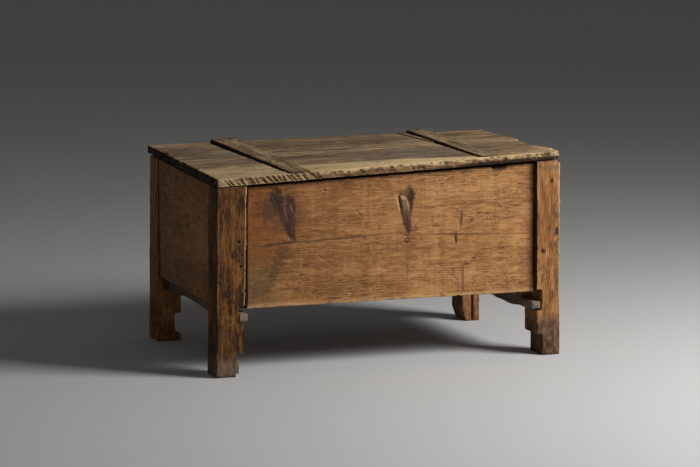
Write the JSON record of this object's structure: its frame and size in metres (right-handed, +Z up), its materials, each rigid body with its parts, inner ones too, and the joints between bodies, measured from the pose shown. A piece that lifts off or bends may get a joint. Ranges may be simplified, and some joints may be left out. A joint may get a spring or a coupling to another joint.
{
  "type": "sea chest",
  "caption": "Rustic post-and-board chest on carved feet, with a plank lid held flat by let-in battens and hung on linked wire hinges.",
  "frame": {"origin": "on the floor under the middle of the whole box", "axes": "+X to the right along the length, +Y to the back, +Z up; the front faces -Y"},
  "size_m": [1.147, 0.739, 0.6319],
  "materials": {
    "post_pine": "old oiled pine, worn at the arrises",
    "face_pine": "old oiled pine, knotty, scratched",
    "grey_pine": "bare grey weathered pine",
    "lid_pine": "weathered grey-brown pine with a worn front edge",
    "peg_wood": "dark whittled hardwood",
    "iron": "dark forged iron"
  },
  "bodies": {
    "carcass": {"post_front_left": "post_pine", "post_front_right": "post_pine", "post_rear_left": "post_pine", "post_rear_right": "post_pine", "panel_front": "face_pine", "panel_back": "face_pine", "panel_left": "face_pine", "panel_right": "face_pine", "rail_left": "grey_pine", "rail_right": "grey_pine", "bottom_board_1": "grey_pine", "bottom_board_2": "grey_pine", "bottom_board_3": "grey_pine", "bottom_board_4": "grey_pine", "hinge_eye_left": "iron", "hinge_eye_right": "iron", "pegs_front": "peg_wood", "pegs_back": "peg_wood", "pegs_left": "peg_wood", "pegs_right": "peg_wood", "bottom_nails": "iron"},
    "lid": {"lid_board_front": "lid_pine", "lid_board_rear": "lid_pine", "lid_batten_left": "lid_pine", "lid_batten_right": "lid_pine", "lid_wedge": "lid_pine", "hinge_loop_left": "iron", "hinge_loop_right": "iron"}
  },
  "joints": [
    {"name": "lid_hinge", "type": "hinge", "parent": "carcass", "child": "lid", "pos_m": [0, 0.3515, 0.558], "axis": [-1, 0, 0], "range_deg": [0, 105]}
  ]
}
